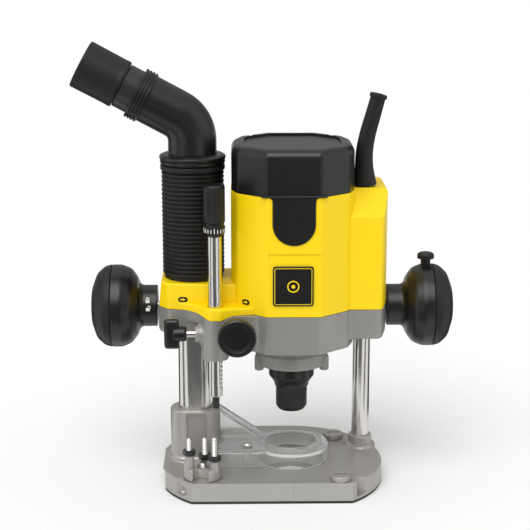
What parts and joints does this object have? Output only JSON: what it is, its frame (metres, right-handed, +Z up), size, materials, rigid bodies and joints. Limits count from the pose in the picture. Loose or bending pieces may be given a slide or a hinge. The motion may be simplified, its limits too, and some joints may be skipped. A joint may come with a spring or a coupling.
{
  "type": "plunge router",
  "caption": "Plunge router with yellow and black motor unit on two columns, cast base, stop turret, depth rod, round side handles and dust outlet.",
  "frame": {"origin": "under the middle of the whole machine, on the surface that the sole stands on", "axes": "+X to the right seen from the front, +Y to the back, +Z up; the spindle axis is at x 19.2 mm, y -5.8 mm"},
  "size_m": [0.272, 0.1223, 0.3212],
  "materials": {
    "yellow_plastic": "satin moulded, lightly textured",
    "black_plastic": "satin moulded",
    "black_rubber": "matte",
    "grey_casting": "satin cast, lightly peened",
    "base_aluminium": "cast and machined",
    "polished_steel": "polished",
    "dark_steel": "blackened",
    "clear_plastic": "clear moulded",
    "copper": "bright",
    "brass": "satin",
    "carbon": "matte"
  },
  "bodies": {
    "base": {"base_casting": "base_aluminium", "sole_plate": "black_plastic", "sole_screw_1": "polished_steel", "sole_screw_2": "polished_steel", "sole_screw_3": "polished_steel", "left_column": "polished_steel", "right_column": "polished_steel", "plunge_spring": "polished_steel", "dust_shroud": "clear_plastic", "shroud_screw": "polished_steel", "turret_pivot_screw": "polished_steel"},
    "front_clamp_screw": {"rod_clamp_screw_front": "polished_steel"},
    "rear_clamp_screw": {"rod_clamp_screw_rear": "polished_steel"},
    "turret": {"turret_disc": "base_aluminium", "stop_nut_1": "dark_steel", "stop_nut_2": "dark_steel", "stop_nut_3": "dark_steel"},
    "stop_1": {"stop_screw_1": "polished_steel"},
    "stop_2": {"stop_screw_2": "polished_steel"},
    "stop_3": {"stop_screw_3": "polished_steel"},
    "carriage": {"carriage_casting": "grey_casting", "motor_housing": "yellow_plastic", "top_cap": "black_plastic", "name_badge": "black_plastic", "dust_sleeve": "black_plastic", "strain_relief": "black_rubber", "cap_screw_1": "dark_steel", "cap_screw_2": "dark_steel", "stator_core": "dark_steel", "carbon_brush_front": "carbon", "carbon_brush_rear": "carbon", "lower_bearing": "polished_steel", "upper_bearing": "polished_steel", "column_bush_left": "brass", "column_bush_right": "brass", "right_handle_inner": "black_plastic", "right_handle_outer": "black_plastic", "switch_body": "black_plastic"},
    "spindle": {"spindle_shaft": "polished_steel", "rotor_core": "polished_steel", "commutator": "copper", "cooling_fan": "black_plastic", "collet": "polished_steel"},
    "nut": {"collet_nut": "dark_steel"},
    "depth_rod": {"depth_rod": "polished_steel"},
    "rod_tip": {"depth_rod_tip": "dark_steel"},
    "fine_knob": {"fine_adjust_knob": "black_plastic"},
    "rack_drive": {"rack_knob": "black_plastic", "pinion_gear": "brass"},
    "rod_lock": {"rod_lock_knob": "black_plastic"},
    "left_handle": {"left_handle_inner": "black_plastic", "left_handle_outer": "black_plastic", "lock_stud": "polished_steel"},
    "lock_pad": {"plunge_lock_pad": "brass"},
    "trigger": {"trigger": "black_plastic"},
    "lock_on_button": {"lock_on_button": "black_plastic"},
    "spindle_lock": {"spindle_lock_button": "black_plastic"},
    "speed_dial": {"speed_dial": "black_plastic"},
    "elbow": {"hose_elbow": "black_plastic"},
    "cuff": {"hose_cuff": "black_rubber"}
  },
  "joints": [
    {"name": "plunge", "type": "slide", "parent": "base", "child": "carriage", "axis": [0, 0, 1], "range_m": [-0.055, 0], "stiffness_N_per_m": 1000, "springref_m": 0.08, "deforming": ["plunge_spring"]},
    {"name": "front_clamp_turn", "type": "hinge", "parent": "base", "child": "front_clamp_screw", "pos_m": [0.053, -0.0508, 0.017], "axis": [0, 0, 1], "range_deg": [0, 180]},
    {"name": "rear_clamp_turn", "type": "hinge", "parent": "base", "child": "rear_clamp_screw", "pos_m": [0.053, 0.0342, 0.017], "axis": [0, 0, 1], "range_deg": [0, 180]},
    {"name": "turret_turn", "type": "hinge", "parent": "base", "child": "turret", "pos_m": [-0.0451, -0.043, 0.016], "axis": [0, 0, 1], "range_deg": [0, 360]},
    {"name": "stop_1_height", "type": "slide", "parent": "turret", "child": "stop_1", "axis": [0, 0, 1], "range_m": [-0.002, 0.005]},
    {"name": "stop_2_height", "type": "slide", "parent": "turret", "child": "stop_2", "axis": [0, 0, 1], "range_m": [-0.002, 0.005]},
    {"name": "stop_3_height", "type": "slide", "parent": "turret", "child": "stop_3", "axis": [0, 0, 1], "range_m": [-0.002, 0.005]},
    {"name": "spindle_spin", "type": "hinge", "parent": "carriage", "child": "spindle", "pos_m": [0.0192, -0.0058, 0.1], "axis": [0, 0, 1], "continuous": true},
    {"name": "collet_nut_turn", "type": "hinge", "parent": "spindle", "child": "nut", "pos_m": [0.0192, -0.0058, 0.08], "axis": [0, 0, 1], "continuous": true},
    {"name": "rod_height", "type": "slide", "parent": "carriage", "child": "depth_rod", "axis": [0, 0, 1], "range_m": [0, 0.035]},
    {"name": "rack_knob_turn", "type": "hinge", "parent": "carriage", "child": "rack_drive", "pos_m": [-0.0202, -0.0458, 0.123], "axis": [0, 1, 0], "range_deg": [0, 183]},
    {"name": "fine_adjust_turn", "type": "hinge", "parent": "depth_rod", "child": "fine_knob", "pos_m": [-0.0355, -0.0388, 0.2], "axis": [0, 0, 1], "range_deg": [-1440, 1440]},
    {"name": "rod_tip_height", "type": "slide", "parent": "depth_rod", "child": "rod_tip", "axis": [0, 0, 1], "range_m": [-0.0042, 0.0042]},
    {"name": "rod_lock_turn", "type": "hinge", "parent": "carriage", "child": "rod_lock", "pos_m": [-0.0508, -0.0388, 0.1206], "axis": [1, 0, 0], "range_deg": [0, 180]},
    {"name": "left_handle_turn", "type": "hinge", "parent": "carriage", "child": "left_handle", "pos_m": [-0.0778, -0.0008, 0.131], "axis": [1, 0, 0], "range_deg": [0, 40]},
    {"name": "lock_pad_press", "type": "slide", "parent": "carriage", "child": "lock_pad", "axis": [1, 0, 0], "range_m": [0, 0.00041]},
    {"name": "trigger_squeeze", "type": "slide", "parent": "carriage", "child": "trigger", "axis": [0, -1, 0], "range_m": [0, 0.004], "stiffness_N_per_m": 700, "springref_m": -0.003},
    {"name": "lock_on_press", "type": "slide", "parent": "carriage", "child": "lock_on_button", "axis": [0, 0, -1], "range_m": [0, 0.003], "stiffness_N_per_m": 500, "springref_m": -0.003},
    {"name": "spindle_lock_press", "type": "slide", "parent": "carriage", "child": "spindle_lock", "axis": [0, -1, 0], "range_m": [0, 0.0034], "stiffness_N_per_m": 500, "springref_m": -0.003},
    {"name": "speed_dial_turn", "type": "hinge", "parent": "carriage", "child": "speed_dial", "pos_m": [0.0192, 0.0342, 0.236], "axis": [0, 1, 0], "range_deg": [0, 270]},
    {"name": "elbow_swivel", "type": "hinge", "parent": "carriage", "child": "elbow", "pos_m": [-0.0513, -0.0038, 0.24], "axis": [0, 0, 1], "range_deg": [-100, 100]},
    {"name": "cuff_swivel", "type": "hinge", "parent": "elbow", "child": "cuff", "pos_m": [-0.0513, -0.0038, 0.265], "axis": [-0.8813, 0, 0.4726], "continuous": true}
  ],
  "couplings": [
    {"joint": "rack_knob_turn", "follows": "rod_height", "rad_per_m": 90.909},
    {"joint": "rod_tip_height", "follows": "fine_adjust_turn", "m_per_rad": 0.00015915},
    {"joint": "lock_pad_press", "follows": "left_handle_turn", "m_per_rad": 0.00057296}
  ]
}
